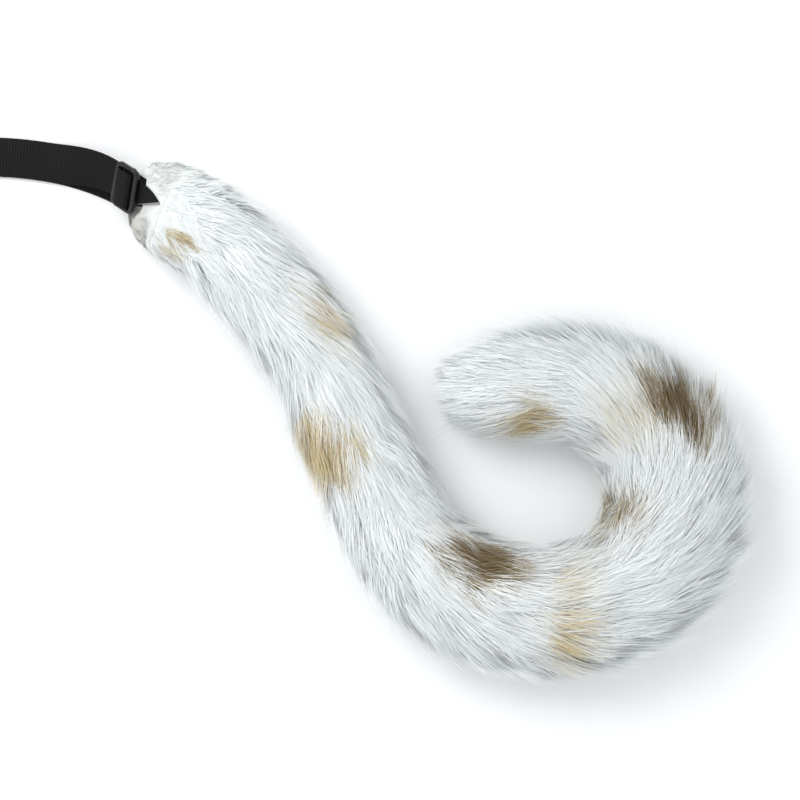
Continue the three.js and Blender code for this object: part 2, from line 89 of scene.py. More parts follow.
# The tail's stretches from its base on: the bend of each in degrees, left positive, and the width and
# height that it ends with, as shares of the fullest.
Section = namedtuple("Section", "turn wide high")
BASE = Section(0, 0.56, 0.56)
STRETCHES = [
    Section(-21, 0.70, 0.78),
    Section(-13, 0.77, 0.86),
    Section(-6, 0.80, 0.88),
    Section(-1, 0.78, 0.87),
    Section(-7, 0.75, 0.85),
    Section(-11, 0.78, 0.87),
    Section(-1, 0.80, 0.88),
    Section(3, 0.80, 0.88),
    Section(0, 0.84, 0.90),
    Section(8, 0.87, 0.92),
    Section(18, 0.90, 0.94),
    Section(15, 0.93, 0.95),
    Section(13, 0.95, 0.97),
    Section(16, 0.96, 0.98),
    Section(18, 0.98, 0.99),
    Section(21, 1.00, 1.00),
    Section(26, 1.00, 1.00),
    Section(23, 0.99, 1.00),
    Section(26, 0.96, 0.98),
    Section(21, 0.90, 0.95),
    Section(23, 0.84, 0.91),
    Section(18, 0.80, 0.88),
    Section(1, 0.74, 0.82),
    Section(-1, 0.60, 0.66),
]
STRETCH_LENGTH = SLEEVE_LENGTH / len(STRETCHES)


def smooth(value, low, high):
    share = np.clip((value - low) / (high - low), 0, 1)
    return share * share * (3 - 2 * share)


def follow(x, y, heading, run, turn):
    half = turn / 2
    chord = run if abs(half) < 1e-9 else run * math.sin(half) / half
    return x + chord * math.cos(heading + half), y + chord * math.sin(heading + half), heading + turn


def centreline_joints():
    joints = [(0.0, 0.0, SLEEVE_HEADING)]
    for section in STRETCHES:
        joints.append(follow(*joints[-1], STRETCH_LENGTH, math.radians(section.turn)))
    slider_x, slider_y, heading = follow(
        0, 0, SLEEVE_HEADING, CAP_LENGTH * SLIDER_ALONG,
        math.radians(STRETCHES[0].turn) * CAP_LENGTH * SLIDER_ALONG / STRETCH_LENGTH,
    )
    aside = SLIDER_ACROSS * BASE.wide * SLEEVE_WIDTH / 2
    slider_x -= math.sin(heading) * aside
    slider_y += math.cos(heading) * aside
    start = middle_of("slider")
    return [(x + start.x - slider_x, y + start.y - slider_y, h) for x, y, h in joints]


joints = centreline_joints()


def spot_at(s):
    row = min(int(max(s, 0) / STRETCH_LENGTH), len(STRETCHES) - 1)
    run = s - row * STRETCH_LENGTH
    turn = math.radians(STRETCHES[row].turn) * run / STRETCH_LENGTH
    return follow(*joints[row], run, turn)


def share_at(column, s):
    place = min(max(s / STRETCH_LENGTH, 0), len(STRETCHES) - 1e-6)
    row = int(place)
    start = STRETCHES[row - 1] if row else BASE
    first, last = getattr(start, column), getattr(STRETCHES[row], column)
    return first + (last - first) * (place - row)


def skin_ring(s, sides, swell_at=None):
    """Points round the backing at a length along it, from its left side over its top.

    With them come the way that the tail runs there, each point's angle and the ring's half width.
    """
    x, y, heading = spot_at(s)
    pile = PILE_DEPTH * smooth(s, CAP_LENGTH, CAP_LENGTH + PILE_RAMP)
    full_height = share_at("high", s) * SLEEVE_HEIGHT / (1 - PRESSED_SHARE)
    centre = full_height * (0.5 - PRESSED_SHARE)
    into_tip = min(max((s - SLEEVE_LENGTH + TIP_ROUNDING) / TIP_ROUNDING, 0), TIP_CLOSED)
    into_dome = min(max(1 - s / CAP_DOME, 0), 1)
    rounding = math.sqrt(1 - into_tip**2) * (1 - DOME_DRAW_IN * into_dome**2)
    side = (share_at("wide", s) * SLEEVE_WIDTH / 2 - pile) * rounding
    top = (full_height / 2 - pile) * rounding
    low = centre * UNDERSIDE_FULLNESS * (UNDERSIDE_AT_TIP + (1 - UNDERSIDE_AT_TIP) * rounding)
    angle = np.arange(sides) / sides * 2 * math.pi
    swell = swell_at(angle) if swell_at else 0
    across = np.array([-math.sin(heading), math.cos(heading), 0])
    along = np.array([math.cos(heading), math.sin(heading), 0])
    reach = np.where(np.sin(angle) > 0, top, low)
    points = np.array([x, y, centre]) + np.outer((side + swell) * np.cos(angle), across)
    points[:, 2] += (reach + swell) * np.sin(angle)
    return points, along, angle, side


def tube(rings):
    """Vertices and faces of a closed tube through equal rings, flat at both ends."""
    sides = len(rings[0])
    faces = []
    for r in range(len(rings) - 1):
        for k in range(sides):
            after = (k + 1) % sides
            faces.append((r * sides + k, r * sides + after, (r + 1) * sides + after, (r + 1) * sides + k))
    last = (len(rings) - 1) * sides
    faces.append(tuple(range(sides - 1, -1, -1)))
    faces.append(tuple(range(last, last + sides)))
    return np.concatenate(rings), faces


def outward(mesh):
    """Turns a closed mesh's faces outwards."""
    shape = bmesh.new()
    shape.from_mesh(mesh)
    bmesh.ops.recalc_face_normals(shape, faces=shape.faces)
    shape.to_mesh(mesh)
    shape.free()


def in_scene(name, data):
    """A new object of the scene."""
    thing = bpy.data.objects.new(name, data)
    bpy.context.scene.collection.objects.link(thing)
    return thing


def new_piece(name, points, faces):
    mesh = bpy.data.meshes.new(name)
    mesh.from_pydata([tuple(p) for p in points], [], faces)
    outward(mesh)
    mesh.shade_smooth()
    return in_scene(name, mesh)


def keep_value(mesh, name, values):
    kind = "FLOAT_VECTOR" if np.ndim(values) == 2 else "FLOAT"
    layer = mesh.attributes.new(name, kind, "POINT")
    flat = np.ascontiguousarray(values, np.float32).ravel()
    layer.data.foreach_set("vector" if kind == "FLOAT_VECTOR" else "value", flat)


# The buckle and the belt's free end press into the soft end of the tail, where the cloth gives way and
# grows no pile. The belt's sewn end lies under the tail and lifts the cloth over it.
PRESS_GAP = 0.0004
PRESS_REACH = 0.005
PRESS_SLOPE = 1.1
PRESS_GRAIN = 0.0008
ROUND_OFF = 0.001
LYING_HEIGHT = 0.003
BUCKLE_AREA = 0.045
TAB_SEEN = 0.0105


def surface_points(node):
    """Points spread over a solid's surface."""
    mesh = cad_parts[node].data
    found = []
    for polygon in mesh.polygons:
        a, b, c = [np.array(mesh.vertices[i].co) for i in polygon.vertices][:3]
        u, v = [np.linspace(0, 1, int(np.linalg.norm(end - a) / PRESS_GRAIN) + 2) for end in (b, c)]
        u, v = [grid.ravel() for grid in np.meshgrid(u, v)]
        inside = u + v < 1 + ROUND_OFF
        found.append(a + np.outer(u[inside], b - a) + np.outer(v[inside], c - a))
    return np.concatenate(found)


def lowest_by_cell(points):
    """Of the points over each small square, the lowest."""
    cells = np.round(points[:, :2] / PRESS_GRAIN).astype(int)
    order = np.lexsort((points[:, 2], cells[:, 1], cells[:, 0]))
    _, first = np.unique(cells[order], axis=0, return_index=True)
    return points[order][first]


def moved(matrix, points):
    return points @ matrix[:3, :3].T + matrix[:3, 3]


to_buckle = np.array(buckle.inverted())
from_buckle = np.array(buckle)
tab_seen = surface_points("slider_tab")
tab_seen = tab_seen[moved(to_buckle, tab_seen)[:, 0] < TAB_SEEN]
pressing = np.concatenate([surface_points("slider"), surface_points("waist_belt"), tab_seen])
close_by = np.linalg.norm(pressing - np.array(buckle.translation), axis=1) < BUCKLE_AREA
pressing = lowest_by_cell(moved(to_buckle, pressing[close_by & (pressing[:, 2] > LYING_HEIGHT)]))


def flat_tree(points):
    tree = KDTree(len(points))
    for i, point in enumerate(points):
        tree.insert((point[0], point[1], 0), i)
    tree.balance()
    return tree


def press_in(points):
    """Lowers the points under the buckle to clear it, with a soft slope beside it."""
    tree = flat_tree(pressing)
    own = moved(to_buckle, points)
    pressed = np.zeros(len(points))
    for i, point in enumerate(own):
        near = tree.find_range((point[0], point[1], 0), PRESS_REACH)
        if not near:
            continue
        beside = np.array([max(distance - PRESS_GRAIN, 0) for _, _, distance in near])
        heights = pressing[[index for _, index, _ in near], 2]
        limit = (heights + PRESS_SLOPE * beside).min() - PRESS_GAP
        if limit < point[2]:
            pressed[i] = 1
            own[i][2] = limit
    return moved(from_buckle, own), pressed


lying = surface_points("waist_belt")
lying = lying[lying[:, 2] < LYING_HEIGHT]
belt_top = lying[:, 2].max()


def lift_off(points):
    """Raises the points over the belt's sewn end to clear it."""
    tree = flat_tree(lowest_by_cell(lying))
    for point in points:
        _, _, distance = tree.find((point[0], point[1], 0))
        clear = belt_top + PRESS_GAP - PRESS_SLOPE * max(distance - PRESS_GRAIN, 0)
        if point[2] < clear:
            point[2] = clear
    return points


# The spots: places where the white pile is dyed. Each has its place along the tail, its place across
# as a share of the half width, left positive, its reach both ways and the strength of its two dyes.
NAP_CARRY = 0.023
Dye = namedtuple("Dye", "along across long broad brown tan")
DYES = [
    Dye(0.045, -0.42, 0.014, 0.004, 0.45, 0.78),
    Dye(0.040, -0.78, 0.012, 0.008, 0.12, 0.42),
    Dye(0.141, 0.60, 0.020, 0.013, 0.05, 0.52),
    Dye(0.216, -0.60, 0.021, 0.019, 0.25, 0.85),
    Dye(0.333, 0.58, 0.035, 0.013, 1.00, 1.00),
    Dye(0.404, -0.05, 0.016, 0.036, 0.00, 0.36),
    Dye(0.404, -0.34, 0.010, 0.010, 0.12, 0.68),
    Dye(0.467, 0.88, 0.034, 0.012, 0.62, 0.80),
    Dye(0.559, -0.50, 0.022, 0.010, 1.00, 1.00),
    Dye(0.566, 0.20, 0.022, 0.018, 0.00, 0.36),
    Dye(0.633, 0.70, 0.020, 0.010, 0.32, 0.95),
]
DYE_EDGE = (0.45, 1.35)


def dye_masks(s, angle, side, grown):
    """How far the pile rooted at a place is dyed brown and tan."""
    brown = np.zeros(len(angle))
    tan = np.zeros(len(angle))
    for dye in DYES:
        around = (angle - np.arccos(dye.across) + math.pi) % (2 * math.pi) - math.pi
        run = (s + NAP_CARRY * grown - dye.along) / dye.long
        inside = 1 - smooth(np.hypot(run, around * side / dye.broad), *DYE_EDGE)
        brown = np.maximum(brown, dye.brown * inside)
        tan = np.maximum(tan, dye.tan * inside)
    return brown, tan


# How the pile lies on the backing: short by the cap, leaning off the parting along the tail's back and
# out of its bends, thin where the tail rests on the table, and loose at the tip.
SHORTEST_PILE = 0.16
TIGHTEST_TURN = max(section.turn for section in STRETCHES)
PARTING_EDGE = 0.3
PARTING_LEAN = 0.35
BEND_LEAN = 0.45
SIDE_LOOSENESS = 0.25
LOOSE_TIP_START = 0.030
LOOSE_TIP_END = 0.005
UNDERSIDE_TOP = 0.004
UNDERSIDE_PILE = 0.4


def sleeve_mesh(name):
    first = CAP_LENGTH + PRESS_GAP
    steps = int((SLEEVE_LENGTH - first) / SLEEVE_STEP)
    rings, values = [], {key: [] for key in ("nap", "pile", "loose", "brown", "tan", "grow", "place")}
    for i in range(steps + 1):
        s = first + (SLEEVE_LENGTH - first) * i / steps
        points, along, angle, side = skin_ring(s, SLEEVE_SIDES)
        rings.append(points)
        outer = np.clip(-np.cos(angle) * share_at("turn", s) / TIGHTEST_TURN, 0, 1)
        tip = smooth(s, SLEEVE_LENGTH - LOOSE_TIP_START, SLEEVE_LENGTH - LOOSE_TIP_END)
        grown = SHORTEST_PILE + (1 - SHORTEST_PILE) * smooth(s, first, first + PILE_RAMP)
        brown, tan = dye_masks(s, angle, side, grown)
        parting = np.cos(angle) * np.clip(np.sin(angle) + PARTING_EDGE, 0, 1)
        across = np.array([-along[1], along[0], 0])
        lean = np.outer(parting * (PARTING_LEAN + BEND_LEAN * outer), across)
        room = (SLEEVE_LENGTH + TIP_FRINGE - s) / HAIR_LENGTH
        values["nap"].append(along + lean)
        values["pile"].append(np.full(SLEEVE_SIDES, min(grown, room)))
        values["loose"].append(np.maximum(np.maximum(outer, SIDE_LOOSENESS * np.abs(np.cos(angle))), tip))
        values["brown"].append(brown)
        values["tan"].append(tan)
        values["grow"].append(np.where(points[:, 2] < UNDERSIDE_TOP, UNDERSIDE_PILE, 1.0))
        values["place"].append(np.full(SLEEVE_SIDES, s / SLEEVE_LENGTH))
    points, faces = tube(rings)
    points[:, 2] = np.maximum(points[:, 2], BACKING_REST)
    points, pressed = press_in(points)
    piece = new_piece(name, lift_off(points), faces)
    for key, layers in values.items():
        whole = np.concatenate(layers)
        keep_value(piece.data, key, whole * (1 - pressed) if key == "grow" else whole)
    return piece


sleeve = sleeve_mesh("fur_sleeve")


def srgb(red, green, blue):
    """A screen colour of 0 to 255 as scene-linear."""
    channels = [c / 255 for c in (red, green, blue)]
    return tuple(c / 12.92 if c <= 0.04045 else ((c + 0.055) / 1.055) ** 2.4 for c in channels) + (1,)


class Weaver:
    """Adds nodes to a tree, with a socket or a plain value for each input."""

    def __init__(self, tree):
        self.tree = tree

    def add(self, kind, inputs=None, **settings):
        node = self.tree.nodes.new(kind)
        for name, value in settings.items():
            setattr(node, name, value)
        for key, value in (inputs or {}).items():
            self.give(node.inputs[key], value)
        return node

    def give(self, socket, value):
        if isinstance(value, bpy.types.NodeSocket):
            self.tree.links.new(value, socket)
        else:
            socket.default_value = value

    def calc(self, operation, *values):
        return self.add("ShaderNodeMath", dict(enumerate(values)), operation=operation).outputs[0]

    def times(self, first, *others):
        for other in others:
            first = self.calc("MULTIPLY", first, other)
        return first

    def between(self, share, low, high):
        return self.calc("MULTIPLY_ADD", share, high - low, low)

    def ramp(self, value, low, high, start=0.0, end=1.0):
        inputs = {"Value": value, "From Min": low, "From Max": high, "To Min": start, "To Max": end}
        return self.add("ShaderNodeMapRange", inputs, interpolation_type="SMOOTHSTEP").outputs["Result"]

    def mixed(self, share, first, last, kind="RGBA"):
        places = {"VECTOR": (4, 5, 1), "RGBA": (6, 7, 2)}[kind]
        node = self.add("ShaderNodeMix", {0: share, places[0]: first, places[1]: last}, data_type=kind)
        return node.outputs[places[2]]

    def valued(self, colour, value):
        node = self.add("ShaderNodeHueSaturation", {"Color": colour, "Value": value})
        return node.outputs["Color"]

    def carried(self, name):
        """A value that the mesh carries."""
        return self.add("ShaderNodeAttribute", attribute_name=name).outputs["Fac"]

    def noise(self, scale, detail):
        place = self.add("ShaderNodeTexCoord").outputs["Object"]
        return self.add("ShaderNodeTexNoise", {"Vector": place, "Scale": scale, "Detail": detail}).outputs[0]

    def bump(self, shader, height, strength, distance):
        node = self.add("ShaderNodeBump", {"Height": height, "Strength": strength, "Distance": distance})
        self.give(shader.inputs["Normal"], node.outputs["Normal"])


def socket_list(tree, inputs, outputs):
    for name, kind in inputs:
        tree.interface.new_socket(name, in_out="INPUT", socket_type=kind)
    for name, kind in outputs:
        tree.interface.new_socket(name, in_out="OUTPUT", socket_type=kind)


# The dyed coat: white acrylic pile with a faint cool cast, tan where the dye is thin and dark brown
# where it is thick, each hair a little different, and painted shade darkening it towards its root.
WHITE_PILE = srgb(243, 246, 246)
# Painted shade: the colour that a hair turns to towards its root, deep in the pile.
ROOT_PAINTED_SHADE = srgb(237, 241, 241)
TAN_PILE = srgb(206, 186, 134)
BROWN_PILE = srgb(114, 94, 62)
SHADED_REACH = 0.55
HAIR_SCATTER = 0.25
TAN_TAKES = (0.12, 0.75)
TAN_STRENGTH = 0.9
BROWN_TAKES = (0.25, 0.8)
BROWN_STRENGTH = 0.92
HAIR_BRIGHTNESS = (0.9, 1.06)


def coat_group():
    tree = bpy.data.node_groups.new("coat colour", "ShaderNodeTree")
    inputs = [(name, "NodeSocketFloat") for name in ("Brown", "Tan", "Hair", "Reach")]
    socket_list(tree, inputs, [("Colour", "NodeSocketColor")])
    w = Weaver(tree)
    given = w.add("NodeGroupInput").outputs
    scatter = w.between(given["Hair"], -HAIR_SCATTER, HAIR_SCATTER)
    tan = w.ramp(w.calc("ADD", given["Tan"], scatter), *TAN_TAKES)
    brown = w.ramp(w.calc("ADD", given["Brown"], scatter), *BROWN_TAKES)
    # Painted shade: each hair darkens from its tip towards its root.
    white = w.mixed(w.ramp(given["Reach"], 0.0, SHADED_REACH), ROOT_PAINTED_SHADE, WHITE_PILE)
    dyed = w.mixed(w.times(tan, TAN_STRENGTH), white, TAN_PILE)
    deep = w.mixed(w.times(brown, BROWN_STRENGTH), dyed, BROWN_PILE)
    out = w.add("NodeGroupOutput")
    w.give(out.inputs["Colour"], w.valued(deep, w.ramp(given["Hair"], 0, 1, *HAIR_BRIGHTNESS)))
    return tree


coat_colour = coat_group()


def new_material(name):
    material = bpy.data.materials.new(name)
    material.use_nodes = True
    return material, Weaver(material.node_tree), material.node_tree.nodes["Principled BSDF"]


def hair_material():
    material, w, shader = new_material("acrylic pile")
    coat = w.add("ShaderNodeGroup", node_tree=coat_colour)
    for name in ("Brown", "Tan", "Hair", "Reach"):
        w.give(coat.inputs[name], w.carried(name.lower()))
    w.give(shader.inputs["Base Color"], coat.outputs["Colour"])
    w.give(shader.inputs["Roughness"], w.ramp(w.carried("hair"), 0, 1, 0.5, 0.72))
    shader.inputs["Specular IOR Level"].default_value = 0.3
    shader.inputs["Sheen Weight"].default_value = 0.35
    shader.inputs["Sheen Roughness"].default_value = 0.45
    return material


def sleeve_material():
    material, w, shader = new_material("fur backing")
    fine = w.noise(900.0, 2.0)
    # The backing takes the colour near the roots, so it carries the painted shade of the deep pile.
    coat = w.add("ShaderNodeGroup", {"Hair": fine, "Reach": 0.15}, node_tree=coat_colour)
    w.give(coat.inputs["Brown"], w.carried("brown"))
    w.give(coat.inputs["Tan"], w.carried("tan"))
    w.give(shader.inputs["Base Color"], coat.outputs["Colour"])
    w.bump(shader, fine, 0.5, 0.0008)
    shader.inputs["Roughness"].default_value = 0.85
    return material


sleeve.data.materials.append(sleeve_material())
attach(sleeve, "root")
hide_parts("tail")

# The pile: tapered hairs that grow out of the backing, lean with the nap, gather in soft locks and
# follow the tail round its bends, but stand off where its outer side is stretched.
HAIR_SEGMENTS = 3

# Each pair below is a range: from one hair to the next, from one lock to the next, from a tight hair to
# a loose one, or from a hair's root to its tip.
LENGTH_SPREAD = (0.7, 1.2)
RISE_SPREAD = (0.25, 1.15)
LOCK_RISE_SPREAD = (0.65, 1.35)
LOOSE_RISE = (1.0, 1.7)
LOCK_LEAN_SHARE = 0.7
OWN_LEAN_SHARE = 0.6
ROLL_LIMIT = 0.35
LOCKS_PER_M2 = 60000.0
LOCK_SEED = 3
LOCK_CLOSING = 1.3
ARCH_POWER = 0.75
ARCH_HEIGHT = (1.2, 0.9)
TAPER_POWER = 2.0
WAVES_APART = 40.0
WAVE_TURN = 4.0
RESTING_SPREAD = 0.0008


def hair_template(segments, look):
    """A flat hair as a strip with no size of its own: only how far along and to which side it is."""
    reach = [i / segments for i in range(segments) for _ in range(2)] + [1.0]
    edge = [-1.0, 1.0] * segments + [0.0]
    faces = [(2 * i, 2 * i + 1, 2 * i + 3, 2 * i + 2) for i in range(segments - 1)]
    faces.append((2 * segments - 2, 2 * segments - 1, 2 * segments))
    mesh = bpy.data.meshes.new("hair")
    mesh.from_pydata([(side, along, 0) for side, along in zip(edge, reach)], [], faces)
    mesh.materials.append(look)
    keep_value(mesh, "reach", reach)
    keep_value(mesh, "edge", edge)
    return in_scene("hair", mesh)


class Grower(Weaver):
    """Adds nodes to a geometry tree, with its named values and random numbers."""

    def vector(self, operation, *values):
        node = self.add("ShaderNodeVectorMath", dict(enumerate(values)), operation=operation)
        return node.outputs["Vector"]

    def scaled(self, vector, factor):
        node = self.add("ShaderNodeVectorMath", {0: vector, "Scale": factor}, operation="SCALE")
        return node.outputs["Vector"]

    def turned(self, vector, axis, angle):
        inputs = {"Vector": vector, "Axis": axis, "Angle": angle}
        return self.add("ShaderNodeVectorRotate", inputs, rotation_type="AXIS_ANGLE").outputs["Vector"]

    def named(self, name, kind="FLOAT"):
        node = self.add("GeometryNodeInputNamedAttribute", {"Name": name}, data_type=kind)
        return node.outputs["Attribute"]

    def named_vector(self, name):
        return self.named(name, "FLOAT_VECTOR")

    def random(self, seed, shift, low=0.0, high=1.0):
        """A number drawn for each point. Each use has a shift of its own, so that no two draw alike."""
        inputs = {"Seed": self.calc("ADD", seed, float(shift)), 2: low, 3: high}
        return self.add("FunctionNodeRandomValue", inputs, data_type="FLOAT").outputs[1]

    def stored(self, geometry, values, kind="FLOAT"):
        for name, value in values.items():
            inputs = {"Geometry": geometry, "Name": name, "Value": value}
            node = self.add("GeometryNodeStoreNamedAttribute", inputs, data_type=kind, domain="POINT")
            geometry = node.outputs["Geometry"]
        return geometry


def sown_hairs(w, given):
    """Hairs standing on the backing, each with its own aim, length and rise and those of its lock."""
    position = w.add("GeometryNodeInputPosition").outputs[0]
    place = w.named("place")
    past_start = w.calc("GREATER_THAN", place, given["From"])
    before_end = w.calc("LESS_THAN", place, given["To"])
    density = w.times(w.named("grow"), w.times(past_start, before_end), given["Hairs per m2"])
    sown = w.add(
        "GeometryNodeDistributePointsOnFaces",
        {"Mesh": given["Backing"], "Density": density, "Seed": given["Seed"]},
        distribute_method="RANDOM",
    )
    locks = w.add(
        "GeometryNodeDistributePointsOnFaces",
        {
            "Mesh": given["Backing"], "Distance Min": given["Lock Spacing"],
            "Density Max": LOCKS_PER_M2, "Seed": LOCK_SEED,
        },
        distribute_method="POISSON",
    ).outputs["Points"]
    inputs = {"Geometry": locks, "Sample Position": position}
    nearest = w.add("GeometryNodeSampleNearest", inputs, domain="POINT").outputs["Index"]

    def of_lock(value, kind="FLOAT"):
        inputs = {"Geometry": locks, "Value": value, "Index": nearest}
        node = w.add("GeometryNodeSampleIndex", inputs, data_type=kind, domain="POINT")
        return node.outputs["Value"]

    def random(shift, low=0.0, high=1.0):
        return w.random(given["Seed"], shift, low, high)

    nap = w.vector("NORMALIZE", w.named_vector("nap"))
    lock_lean = w.times(of_lock(random(11, -1.0, 1.0)), given["Spread"])
    own_lean = w.times(random(12, -1.0, 1.0), given["Spread"])
    points = w.stored(sown.outputs["Points"], {
        "out": sown.outputs["Normal"],
        "root": position,
        "knot": of_lock(position, "FLOAT_VECTOR"),
    }, "FLOAT_VECTOR")
    out = w.named_vector("out")
    points = w.stored(points, {
        "lock_aim": w.turned(nap, out, w.times(lock_lean, LOCK_LEAN_SHARE)),
        "aim": w.turned(nap, out, w.calc("MULTIPLY_ADD", own_lean, OWN_LEAN_SHARE, lock_lean)),
    }, "FLOAT_VECTOR")
    pile = w.named("pile")
    hair = random(13)
    length = w.times(given["Length"], pile, w.between(random(14), *LENGTH_SPREAD))
    rise = w.times(given["Lift"], w.between(random(15), *RISE_SPREAD))
    lock_rise = w.between(of_lock(random(16)), *LOCK_RISE_SPREAD)
    points = w.stored(points, {
        "hair": hair,
        "long": length,
        "rise": w.times(rise, lock_rise, pile, w.between(w.named("loose"), *LOOSE_RISE)),
        "roll": random(17, -ROLL_LIMIT, ROLL_LIMIT),
    })
    template = w.add("GeometryNodeObjectInfo", {"Object": given["Hair"]}).outputs["Geometry"]
    planted = w.add("GeometryNodeInstanceOnPoints", {"Points": points, "Instance": template})
    return w.add("GeometryNodeRealizeInstances", {"Geometry": planted.outputs[0]}).outputs[0]


def combed(w, given):
    """Where each corner of each hair lies."""
    position = w.add("GeometryNodeInputPosition").outputs[0]
    normal = w.add("GeometryNodeInputNormal").outputs[0]
    reach = w.named("reach")
    gone = w.times(reach, w.named("long"))
    own = w.vector("ADD", w.named_vector("root"), w.scaled(w.named_vector("aim"), gone))
    lock = w.vector("ADD", w.named_vector("knot"), w.scaled(w.named_vector("lock_aim"), gone))
    pull = w.times(given["Lock Pull"], w.calc("POWER", reach, LOCK_CLOSING))
    free = w.mixed(pull, own, lock, "VECTOR")

    def on_backing(value):
        inputs = {"Mesh": given["Backing"], "Value": value, "Sample Position": free}
        return w.add("GeometryNodeSampleNearestSurface", inputs, data_type="FLOAT_VECTOR").outputs["Value"]

    out = w.vector("NORMALIZE", on_backing(normal))
    hug = w.calc("SUBTRACT", 1.0, w.times(given["Stand Off"], w.named("loose")))
    spine = w.mixed(hug, free, on_backing(position), "VECTOR")
    arch = w.times(w.calc("POWER", reach, ARCH_POWER), w.between(reach, *ARCH_HEIGHT))
    spine = w.vector("ADD", spine, w.scaled(out, w.times(w.named("rise"), arch)))
    aside = w.vector("NORMALIZE", w.vector("CROSS_PRODUCT", out, w.named_vector("aim")))
    phase = w.calc("MULTIPLY_ADD", w.named("hair"), WAVES_APART, w.times(reach, WAVE_TURN))
    spine = w.vector("ADD", spine, w.scaled(aside, w.times(w.calc("SINE", phase), given["Wave"], reach)))
    roll = w.named("roll")
    across = w.vector("ADD", w.scaled(aside, w.calc("COSINE", roll)), w.scaled(out, w.calc("SINE", roll)))
    taper = w.calc("SUBTRACT", 1.0, w.calc("POWER", reach, TAPER_POWER))
    half = w.times(given["Width"], 0.5, taper, w.named("edge"))
    final = w.vector("ADD", spine, w.scaled(across, half))
    parts = w.add("ShaderNodeSeparateXYZ", {0: final}).outputs
    lowest = w.calc("MULTIPLY_ADD", w.named("hair"), RESTING_SPREAD, given["Floor"])
    resting = {0: parts[0], 1: parts[1], 2: w.calc("MAXIMUM", parts[2], lowest)}
    return w.add("ShaderNodeCombineXYZ", resting).outputs[0]


def dressed(w, geometry, look):
    """Ends a tree as a real mesh with its material on."""
    whole = w.add("GeometryNodeRealizeInstances", {"Geometry": geometry}).outputs[0]
    return w.add("GeometryNodeSetMaterial", {"Geometry": whole, "Material": look}).outputs[0]


def pile_tree():
    tree = bpy.data.node_groups.new("pile", "GeometryNodeTree")
    floats = (
        "Hairs per m2", "Length", "Width", "Lift", "Spread", "Lock Spacing", "Lock Pull",
        "Stand Off", "Wave", "From", "To", "Floor",
    )
    inputs = [("Backing", "NodeSocketGeometry"), ("Hair", "NodeSocketObject")]
    inputs += [("Look", "NodeSocketMaterial"), ("Seed", "NodeSocketInt")]
    inputs += [(name, "NodeSocketFloat") for name in floats]
    socket_list(tree, inputs, [("Pile", "NodeSocketGeometry")])
    w = Grower(tree)
    given = w.add("NodeGroupInput").outputs
    sown = sown_hairs(w, given)
    placed = w.add("GeometryNodeSetPosition", {"Geometry": sown, "Position": combed(w, given)})
    result = w.add("NodeGroupOutput")
    w.give(result.inputs["Pile"], dressed(w, placed.outputs[0], given["Look"]))
    return tree


pile_nodes = pile_tree()
KEPT_VALUES = {"brown", "tan", "hair", "reach", "material_index"}


def nodes_on(piece, tree, values):
    """Puts a node tree on a piece, with its inputs set by their identifiers."""
    modifier = piece.modifiers.new(tree.name, "NODES")
    modifier.node_group = tree
    for item in tree.interface.items_tree:
        if item.in_out == "INPUT" and item.name in values:
            modifier[item.identifier] = values[item.name]
    return modifier


def baked(piece, modifier):
    """The piece's mesh with the modifier worked in, and the modifier gone."""
    graph = bpy.context.evaluated_depsgraph_get()
    mesh = bpy.data.meshes.new_from_object(piece.evaluated_get(graph), depsgraph=graph)
    piece.modifiers.remove(modifier)
    return mesh


def grow_pile(name, backing, look, values):
    """Grows a pile on a backing and returns it as a plain mesh."""
    nursery = in_scene(name + "_nursery", backing.data)
    mesh = baked(nursery, nodes_on(nursery, pile_nodes, {"Look": look, **values}))
    bpy.data.objects.remove(nursery)
    for layer in [a.name for a in mesh.attributes if not a.is_internal and not a.is_required]:
        if layer not in KEPT_VALUES:
            mesh.attributes.remove(mesh.attributes[layer])
    mesh.name = name
    mesh.shade_smooth()
    piece = in_scene(name, mesh)
    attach(piece, "root")
    return piece


PILE_PIECES = 5
hair_look = hair_material()
long_hair = hair_template(HAIR_SEGMENTS, hair_look)
long_pile = {
    "Hair": long_hair,
    "Hairs per m2": 1.55e6,
    "Length": HAIR_LENGTH,
    "Width": 0.00048,
    "Lift": 0.0095,
    "Spread": math.radians(24),
    "Lock Spacing": 0.0065,
    "Lock Pull": 0.5,
    "Stand Off": 0.75,
    "Wave": 0.0012,
    "Floor": 0.0003,
    "Seed": 1,
}
for k in range(PILE_PIECES):
    stretch = {"From": k / PILE_PIECES, "To": (k + 1) / PILE_PIECES + (k == PILE_PIECES - 1)}
    fur = grow_pile(f"fur_pile_{k + 1}", sleeve, hair_look, {**long_pile, **stretch})
bpy.data.objects.remove(long_hair)

# The base cap: a short-pile cloth end, drawn in with gathers and closed round the belt and the tab.
# Its cloth has painted shade on the tail's right side, and its nap grows longer towards the seam with the
# fur.
GATHERS = 11
GATHER_DEPTH = 0.0014
GATHER_FADE = 1.5
CAP_SIDES = 132
CAP_STEPS = 22
END_STEPS = 9
END_DOME = 0.003
END_GATHER = 0.4
INNER_RING = 0.4
CREASE_DEPTH = 0.0008
CREASE_WAVES = ((3, 420, 0), (5, -260, 1.3))
SLACK_SIDE = (0.6, -0.6)
SEAM_PILE = 1.8
SEAM_START = 0.4
END_PILE = 0.4
END_PILE_REACH = 0.2
SHADED_SIDE = (-0.3, 0.8)
SIDE_SHADE_REACH = 0.3


def creases(s, angle):
    """Shallow slack in the cloth, mostly round the sleeve where the end is drawn in."""
    waves = [np.sin(angle * count + s * run + start) for count, run, start in CREASE_WAVES]
    return CREASE_DEPTH * np.prod(waves, axis=0) * smooth(np.cos(angle), *SLACK_SIDE)


